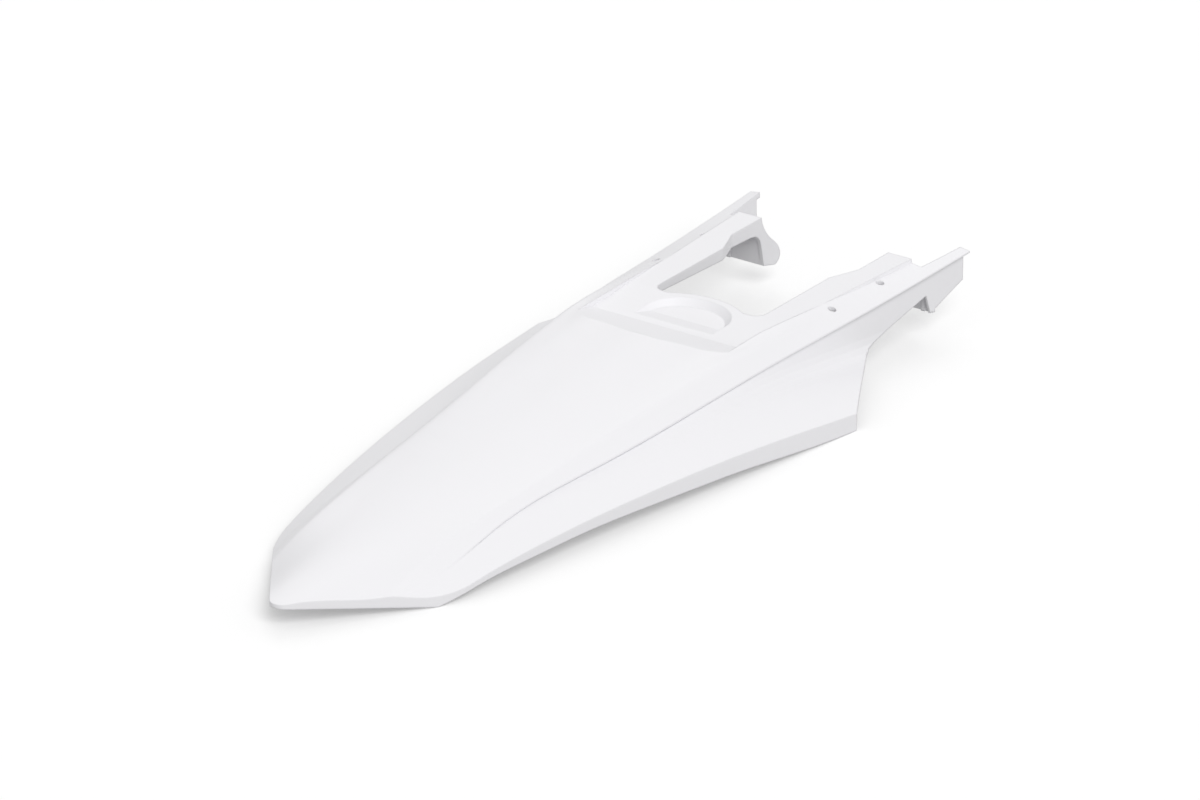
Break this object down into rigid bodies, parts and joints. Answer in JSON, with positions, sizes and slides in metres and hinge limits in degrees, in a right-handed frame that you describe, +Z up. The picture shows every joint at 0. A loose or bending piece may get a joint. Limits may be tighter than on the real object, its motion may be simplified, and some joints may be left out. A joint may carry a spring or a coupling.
{
  "type": "motorcycle rear fender",
  "caption": "Thin crowned plastic rear fender for an off-road motorcycle, with a pointed tail, swept side wings, a seat step and forward mounting arms with hooked feet.",
  "frame": {"origin": "on the floor under the middle of the part's box, as it lies on its tail shoulders and wing corners", "axes": "+X forward from the tail to the mounting arms, +Y to the rider's left, +Z up"},
  "size_m": [0.65, 0.26, 0.0597],
  "materials": {
    "rear_fender": "glossy moulded"
  },
  "bodies": {
    "root": {"rear_fender": "rear_fender"}
  },
  "joints": []
}
